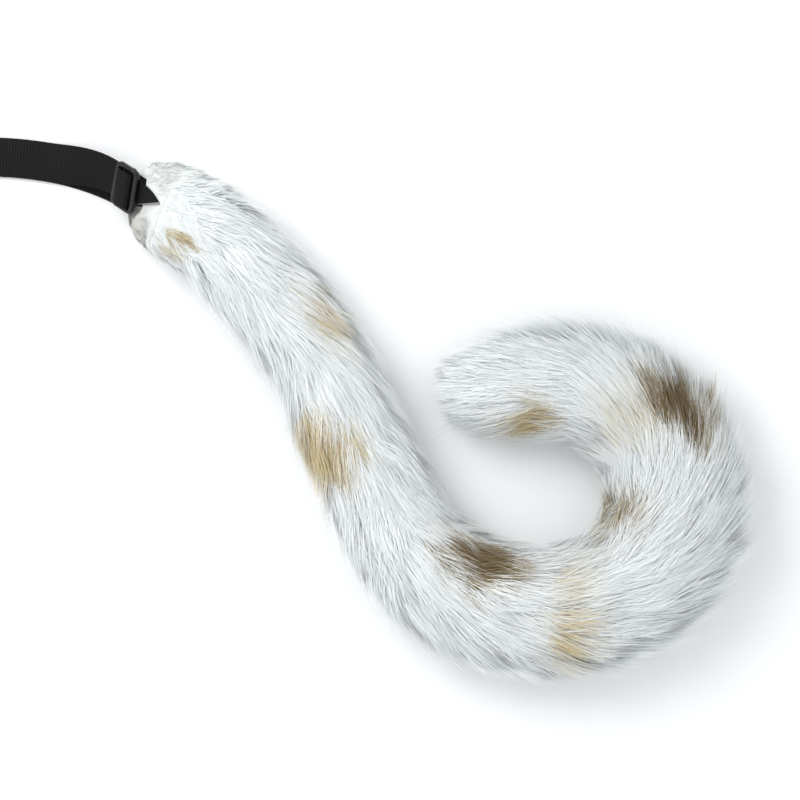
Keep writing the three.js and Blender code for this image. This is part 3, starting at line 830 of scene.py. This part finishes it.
def cap_mesh(name):
    def swell(s):
        fade = (1 - s / CAP_LENGTH) ** GATHER_FADE
        return lambda angle: GATHER_DEPTH * fade * np.cos(GATHERS * angle) + creases(s, angle)

    rings, nap, lengths = [], [], []
    first, along, angle, _ = skin_ring(0, CAP_SIDES, swell(0))
    middle = first.mean(axis=0)
    spread = (first - middle) / np.linalg.norm(first - middle, axis=1)[:, None]
    for i in range(END_STEPS):
        share = (i + INNER_RING) / END_STEPS
        puckers = END_GATHER * GATHER_DEPTH * share * np.cos(GATHERS * angle)
        sunk = np.outer(END_DOME * (1 - share**2) + puckers, along)
        rings.append(middle + (first - middle) * share - sunk)
        nap.append(spread)
        lengths.append(0.0)
    for i in range(CAP_STEPS + 1):
        s = CAP_LENGTH * i / CAP_STEPS
        points, along, _, _ = skin_ring(s, CAP_SIDES, swell(s))
        rings.append(points)
        nap.append(np.tile(along, (CAP_SIDES, 1)))
        lengths.append(s)
    points, faces = tube(rings)
    points[:, 2] = np.maximum(points[:, 2], BACKING_REST / 2)
    points, pressed = press_in(points)
    piece = new_piece(name, lift_off(points), faces)
    side = np.tile(-np.cos(angle), len(rings))
    lengths = np.repeat(lengths, CAP_SIDES) / CAP_LENGTH
    end_pile = END_PILE + (1 - END_PILE) * smooth(lengths, 0, END_PILE_REACH)
    every = np.ones(len(points))
    values = {
        "nap": np.concatenate(nap),
        "grow": 1 - pressed,
        "place": every * 0.5,
        "pile": end_pile + SEAM_PILE * smooth(lengths, SEAM_START, 1),
        # On the cap, the tan value holds the painted shade of its right side, not dye.
        "tan": smooth(side, *SHADED_SIDE) * (1 - smooth(lengths, SIDE_SHADE_REACH, 1)),
        "loose": every,
        "brown": every * 0,
    }
    for key, value in values.items():
        keep_value(piece.data, key, value)
    return piece


CAP_WHITE = srgb(236, 239, 237)
# Painted shade on the cap's right side.
CAP_PAINTED_SHADE = srgb(188, 187, 179)
# Painted shade: how dark the cap's cloth and nap get down at the roots.
CAP_ROOT_PAINTED_SHADE = 0.86
CAP_SHADED_REACH = 0.7


def cap_colour(w, reach):
    """White, with painted shade on the tail's right side and a little darker down in the pile, where shade
    is painted too.
    """
    # The painted shade of the right side, broken up a little by noise.
    side_shade = w.times(w.carried("tan"), w.ramp(w.noise(130.0, 2.0), 0.3, 0.7, 0.75, 1.0))
    cloth = w.mixed(side_shade, CAP_WHITE, CAP_PAINTED_SHADE)
    return w.valued(cloth, w.ramp(reach, 0.0, CAP_SHADED_REACH, CAP_ROOT_PAINTED_SHADE, 1.0))


def cap_material():
    material, w, shader = new_material("short-pile cloth")
    # The cloth under the nap is coloured as the nap near its roots: painted shade.
    w.give(shader.inputs["Base Color"], cap_colour(w, 0.2))
    w.bump(shader, w.noise(1500.0, 2.0), 0.6, 0.0004)
    shader.inputs["Roughness"].default_value = 0.92
    return material


def nap_material():
    material, w, shader = new_material("short nap")
    # Each nap hair darkens towards its root: painted shade.
    w.give(shader.inputs["Base Color"], cap_colour(w, w.carried("reach")))
    shader.inputs["Roughness"].default_value = 0.85
    shader.inputs["Sheen Weight"].default_value = 0.3
    return material


cap = cap_mesh("cap_cloth")
cap.data.materials.append(cap_material())
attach(cap, "root")
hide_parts("base_cap")

NAP_SEGMENTS = 2
nap_look = nap_material()
short_hair = hair_template(NAP_SEGMENTS, nap_look)
short_pile = {
    "Hair": short_hair,
    "Hairs per m2": 6.2e6,
    "Length": 0.0045,
    "Width": 0.00034,
    "Lift": 0.0012,
    "Spread": math.radians(32),
    "Lock Spacing": 0.0030,
    "Lock Pull": 0.15,
    "Stand Off": 1.0,
    "Wave": 0.0002,
    "From": 0.0,
    "To": 1.0,
    "Floor": 0.0002,
    "Seed": 4,
}
cap_nap = grow_pile("cap_nap", cap, nap_look, short_pile)
bpy.data.objects.remove(short_hair)

# The belt: ribbed webbing woven of black polyester, cut on a slant at its free end and threaded
# through the slider, round the waist and back to where it is sewn under the cap.
WEBBING_THICKNESS = 0.0013
WEBBING_ROW = 0.0006
RIB_PITCH = 0.0018
RIB_HEIGHT = 0.0002
WARP_PITCH = 0.0011
WEBBING_PROFILE = [
    (-1.0, 0.0), (-0.988, 0.7), (-0.95, 1.0), (-0.5, 1.0),
    (0.0, 1.0), (0.5, 1.0), (0.95, 1.0), (0.988, 0.7),
]
WEBBING_PROFILE += [(-a, -b) for a, b in WEBBING_PROFILE]
INNER_NEIGHBOURS = 6


def ribbon_stations(node):
    """The two edges of a ribbon solid, station by station from its lying end, read from its corners.

    The first ring of corners is the end that lies on the table, where each has fewer neighbours than the
    corners further in. Each next ring is what the last one touches.
    """
    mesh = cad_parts[node].data
    ids, corners, near = {}, [], {}
    for polygon in mesh.polygons:
        round_it = []
        for i in polygon.vertices:
            key = tuple(round(c, 6) for c in mesh.vertices[i].co)
            if key not in ids:
                ids[key] = len(corners)
                corners.append(np.array(mesh.vertices[i].co))
            round_it.append(ids[key])
        for a, b in zip(round_it, round_it[1:] + round_it[:1]):
            near.setdefault(a, set()).add(b)
            near.setdefault(b, set()).add(a)
    ring = {i for i in near if len(near[i]) < INNER_NEIGHBOURS and corners[i][2] < LYING_HEIGHT}
    seen, edges = set(), []
    while ring:
        seen |= ring
        members = sorted(ring)
        first = members[0]
        mate = min(members[1:], key=lambda i: np.linalg.norm(corners[i] - corners[first]))
        rest = [i for i in members if i not in (first, mate)]
        pair = [(corners[first] + corners[mate]) / 2, (corners[rest[0]] + corners[rest[1]]) / 2]
        if edges and np.linalg.norm(pair[0] - edges[-1][0]) > np.linalg.norm(pair[1] - edges[-1][0]):
            pair.reverse()
        edges.append(pair)
        ring = set().union(*(near[i] for i in ring)) - seen
    return np.array(edges)


def through(points, at, where):
    """A smooth curve through points known at given lengths, read at other lengths."""
    slope = np.gradient(points, at, axis=0)
    row = np.clip(np.searchsorted(at, where, side="right") - 1, 0, len(at) - 2)
    gap = (at[row + 1] - at[row])[:, None]
    t = (where - at[row])[:, None] / gap
    start, end = points[row], points[row + 1]
    return (
        start * (1 + 2 * t) * (1 - t) ** 2 + end * t * t * (3 - 2 * t)
        + gap * (slope[row] * t * (1 - t) ** 2 - slope[row + 1] * t * t * (1 - t))
    )


def webbing_mesh(name):
    edges = ribbon_stations("waist_belt")[::-1]
    middle = edges.mean(axis=1)
    at = np.concatenate([[0], np.cumsum(np.linalg.norm(np.diff(middle, axis=0), axis=1))])
    where = np.linspace(0, at[-1], int(at[-1] / WEBBING_ROW))
    first, second = through(edges[:, 0], at, where), through(edges[:, 1], at, where)
    centre, across = (first + second) / 2, second - first
    half = np.linalg.norm(across, axis=1)[:, None] / 2
    across /= 2 * half
    face = np.cross(across, np.gradient(centre, axis=0))
    face /= np.linalg.norm(face, axis=1)[:, None]
    rings = [
        np.array([c + a * h * u + f * v * WEBBING_THICKNESS / 2 for u, v in WEBBING_PROFILE])
        for c, a, f, h in zip(centre, across, face, half)
    ]
    points, faces = tube(rings)
    piece = new_piece(name, points, faces)
    sides = len(WEBBING_PROFILE)
    keep_value(piece.data, "along", np.repeat(where, sides))
    keep_value(piece.data, "across", (half * np.array([u for u, _ in WEBBING_PROFILE])).ravel())
    keep_value(piece.data, "flat", np.tile([float(abs(v) == 1) for _, v in WEBBING_PROFILE], len(where)))
    return piece


def rib_tree():
    tree = bpy.data.node_groups.new("ribs", "GeometryNodeTree")
    inputs = [("Webbing", "NodeSocketGeometry"), ("Look", "NodeSocketMaterial")]
    inputs += [(name, "NodeSocketFloat") for name in ("Rib Pitch", "Rib Height")]
    socket_list(tree, inputs, [("Webbing", "NodeSocketGeometry")])
    w = Grower(tree)
    given = w.add("NodeGroupInput").outputs
    turns = w.calc("DIVIDE", w.named("along"), given["Rib Pitch"])
    dip = w.calc("MULTIPLY_ADD", w.calc("COSINE", w.times(turns, 2 * math.pi)), 0.5, -0.5)
    rise = w.times(dip, given["Rib Height"], w.named("flat"))
    normal = w.add("GeometryNodeInputNormal").outputs[0]
    inputs = {"Geometry": given["Webbing"], "Offset": w.scaled(normal, rise)}
    ribbed = w.add("GeometryNodeSetPosition", inputs).outputs[0]
    result = w.add("NodeGroupOutput")
    w.give(result.inputs["Webbing"], dressed(w, ribbed, given["Look"]))
    return tree


WEBBING_BLACK = srgb(18, 17, 19)
# Painted shade: the colour of the grooves between the ribs.
WEBBING_GROOVE_SHADE = srgb(5, 5, 6)
CUT_EDGE = srgb(176, 172, 164)
CUT_DEPTH = 0.0007
CUT_STRENGTH = 0.6
TWILL_SHARE = 0.15
RIDGE_SHARE = 0.35


def webbing_material():
    material, w, shader = new_material("black webbing")
    along = w.carried("along")
    round_rib = w.times(along, 2 * math.pi / RIB_PITCH)
    warp = w.calc("COSINE", w.times(w.carried("across"), 2 * math.pi / WARP_PITCH))
    twill = w.calc("MULTIPLY_ADD", w.times(w.calc("SINE", round_rib), warp), TWILL_SHARE, 0.5)
    woven = w.calc("MULTIPLY_ADD", w.calc("COSINE", round_rib), RIDGE_SHARE, twill)
    lint = w.ramp(w.noise(700.0, 3.0), 0.3, 0.7, 0.6, 1.0)
    # Painted shade darkens the grooves between the ribs; lint varies the tone at random.
    body = w.mixed(w.times(woven, lint), WEBBING_GROOVE_SHADE, WEBBING_BLACK)
    cut = w.times(w.calc("LESS_THAN", along, CUT_DEPTH), CUT_STRENGTH)
    w.give(shader.inputs["Base Color"], w.mixed(cut, body, CUT_EDGE))
    w.bump(shader, woven, 0.7, 0.00025)
    w.give(shader.inputs["Roughness"], w.ramp(woven, 0, 1, 0.85, 0.62))
    shader.inputs["Specular IOR Level"].default_value = 0.22
    return material


webbing_look = webbing_material()
belt = webbing_mesh("belt_webbing")
rib_values = {"Look": webbing_look, "Rib Pitch": RIB_PITCH, "Rib Height": RIB_HEIGHT}
belt.data = baked(belt, nodes_on(belt, rib_tree(), rib_values))
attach(belt, "root")
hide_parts("waist_belt")

# The tab: a short length of the same webbing folded round the slider's centre bar, its legs drawn in
# under the belt's free end, sewn together and into the cap.
TAB_EDGE = 0.00025
TAB_DRAWN_IN = 0.36
TAB_DRAWN_OVER = (0.004, 0.010)
TAB_PAST_CUT = 1.0
SHARP_EDGE = math.radians(40)
FLAT_ENOUGH = math.radians(1)
SAME_PLACE = 1e-6


def merged_copy(node, name):
    """A copy of a solid's mesh with its triangles joined into whole faces."""
    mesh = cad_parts[node].data.copy()
    mesh.materials.clear()
    shape = bmesh.new()
    shape.from_mesh(mesh)
    bmesh.ops.remove_doubles(shape, verts=shape.verts, dist=SAME_PLACE)
    bmesh.ops.dissolve_limit(shape, angle_limit=FLAT_ENOUGH, verts=shape.verts, edges=shape.edges)
    bmesh.ops.recalc_face_normals(shape, faces=shape.faces)
    shape.to_mesh(mesh)
    shape.free()
    return in_scene(name, mesh)


def rounded(piece, width, segments):
    """Rounds a piece's sharp edges."""
    bevel = piece.modifiers.new("soft edges", "BEVEL")
    bevel.width = width
    bevel.segments = segments
    bevel.limit_method = "ANGLE"
    bevel.angle_limit = SHARP_EDGE
    piece.data = baked(piece, bevel)
    piece.data.shade_smooth()
    return piece


tab = rounded(merged_copy("slider_tab", "tab_webbing"), TAB_EDGE, 2)
tab.data.materials.append(webbing_look)
tab_places = moved(to_buckle, np.array([v.co for v in tab.data.vertices]))
tab_places[:, 1] *= 1 - TAB_DRAWN_IN * smooth(tab_places[:, 0], *TAB_DRAWN_OVER)
tab.data.vertices.foreach_set("co", moved(from_buckle, tab_places).ravel())
keep_value(tab.data, "along", tab_places[:, 0] + TAB_PAST_CUT)
keep_value(tab.data, "across", tab_places[:, 1])
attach(tab, "root")
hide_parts("slider_tab")

# The slider: a tri-glide moulded of black plastic, an oblong frame with rounded edges and a thinner
# bar across its middle that the tab holds.
SLIDER_WIDTH = 0.020
SLIDER_LENGTH = 0.032
SLIDER_THICKNESS = 0.0032
SLIDER_CORNER = 0.005
WINDOW_WIDTH = 0.013
WINDOW_LENGTH = 0.0264
WINDOW_CORNER = 0.001
SLIDER_BEVEL = 0.0009
BEVEL_STEPS = 4
BAR_WIDTH = 0.0035
BAR_THICKNESS = 0.002
BAR_CORNER = 0.00099
CORNER_STEPS = 10


def oblong(width, length, corner):
    points = []
    for quarter, (sx, sy) in enumerate([(1, 1), (-1, 1), (-1, -1), (1, -1)]):
        for i in range(CORNER_STEPS + 1):
            angle = (quarter + i / CORNER_STEPS) * math.pi / 2
            x = sx * (width / 2 - corner) + corner * math.cos(angle)
            y = sy * (length / 2 - corner) + corner * math.sin(angle)
            points.append((x, y))
    return points


def slider_mesh(name):
    outer = oblong(SLIDER_WIDTH, SLIDER_LENGTH, SLIDER_CORNER)
    inner = oblong(WINDOW_WIDTH, WINDOW_LENGTH, WINDOW_CORNER)
    half = SLIDER_THICKNESS / 2
    walls = [(outer, -half), (outer, half), (inner, half), (inner, -half)]
    count = len(outer)
    faces = []
    for r in range(len(walls)):
        for k in range(count):
            after = (k + 1) % count
            low, high = r * count, (r + 1) % len(walls) * count
            faces.append((low + k, low + after, high + after, high + k))
    piece = new_piece(name, [(x, y, z) for line, z in walls for x, y in line], faces)
    rounded(piece, SLIDER_BEVEL, BEVEL_STEPS)
    bar_end = WINDOW_LENGTH / 2 + SLIDER_BEVEL
    section = oblong(BAR_WIDTH, BAR_THICKNESS, BAR_CORNER)
    bar = new_piece("bar", *tube([np.array([(x, y, z) for x, z in section]) for y in (-bar_end, bar_end)]))
    join = piece.modifiers.new("bar", "BOOLEAN")
    join.operation = "UNION"
    join.object = bar
    piece.data = baked(piece, join)
    bpy.data.objects.remove(bar)
    piece.data.transform(buckle)
    piece.data.shade_smooth()
    return piece


def plastic_material():
    material, w, shader = new_material("black plastic")
    scuff = w.noise(420.0, 4.0)
    shader.inputs["Base Color"].default_value = srgb(15, 15, 17)
    w.give(shader.inputs["Roughness"], w.ramp(scuff, 0.35, 0.7, 0.26, 0.42))
    w.bump(shader, scuff, 0.25, 0.00008)
    shader.inputs["Specular IOR Level"].default_value = 0.3
    shader.inputs["Coat Weight"].default_value = 0.15
    shader.inputs["Coat Roughness"].default_value = 0.15
    return material


slider = slider_mesh("slider_moulding")
slider.data.materials.append(plastic_material())
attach(slider, "root")
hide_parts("slider")

# The floor, the light and the camera: the tail lies flat on a pale table, seen straight from above,
# under a wide window and a room that is light all round.
TABLE_REACH = 4
TABLE_PALE = (0.9, 0.9, 0.9, 1)
ROOM_LIGHT = (0.96, 0.98, 1.0, 1)
WINDOW_PLACE = (-0.9, 0.9, 1.5)
WINDOW_TARGET = (0.1, 0, 0)
WINDOW_SIZE = 1.2
WINDOW_WATTS = 19
PHOTO_WIDTH = 800
METRES_PER_PIXEL = 0.000631
SLIDER_IN_PHOTO = (124.6, 187.2)
CAMERA_HEIGHT = 1.75
FOCUS_HEIGHT = 0.030
SENSOR_WIDTH = 36

table_corners = [(x * TABLE_REACH, y * TABLE_REACH, 0) for x, y in ((-1, -1), (1, -1), (1, 1), (-1, 1))]
table_mesh = bpy.data.meshes.new("table")
table_mesh.from_pydata(table_corners, [], [(0, 1, 2, 3)])
table_look, _, table_shader = new_material("pale table")
table_shader.inputs["Base Color"].default_value = TABLE_PALE
table_shader.inputs["Roughness"].default_value = 0.9
table_mesh.materials.append(table_look)
in_scene("table", table_mesh)

world = bpy.data.worlds.new("soft room")
world.use_nodes = True
world.node_tree.nodes["Background"].inputs["Color"].default_value = ROOM_LIGHT
bpy.context.scene.world = world

window_light = bpy.data.lights.new("window", "AREA")
window_light.shape = "DISK"
window_light.size = WINDOW_SIZE
window_light.energy = WINDOW_WATTS
window = in_scene("window", window_light)
window.location = WINDOW_PLACE
window_aim = Vector(WINDOW_TARGET) - Vector(WINDOW_PLACE)
window.rotation_euler = window_aim.to_track_quat("-Z", "Y").to_euler()

slider_middle = middle_of("slider")
camera_data = bpy.data.cameras.new("camera")
camera_data.sensor_width = SENSOR_WIDTH
camera_data.lens = SENSOR_WIDTH * (CAMERA_HEIGHT - FOCUS_HEIGHT) / (PHOTO_WIDTH * METRES_PER_PIXEL)
camera = in_scene("camera", camera_data)
camera.location = (
    slider_middle.x + (PHOTO_WIDTH / 2 - SLIDER_IN_PHOTO[0]) * METRES_PER_PIXEL,
    slider_middle.y - (PHOTO_WIDTH / 2 - SLIDER_IN_PHOTO[1]) * METRES_PER_PIXEL,
    CAMERA_HEIGHT,
)
bpy.context.scene.camera = camera
bpy.context.scene.view_settings.view_transform = "Standard"
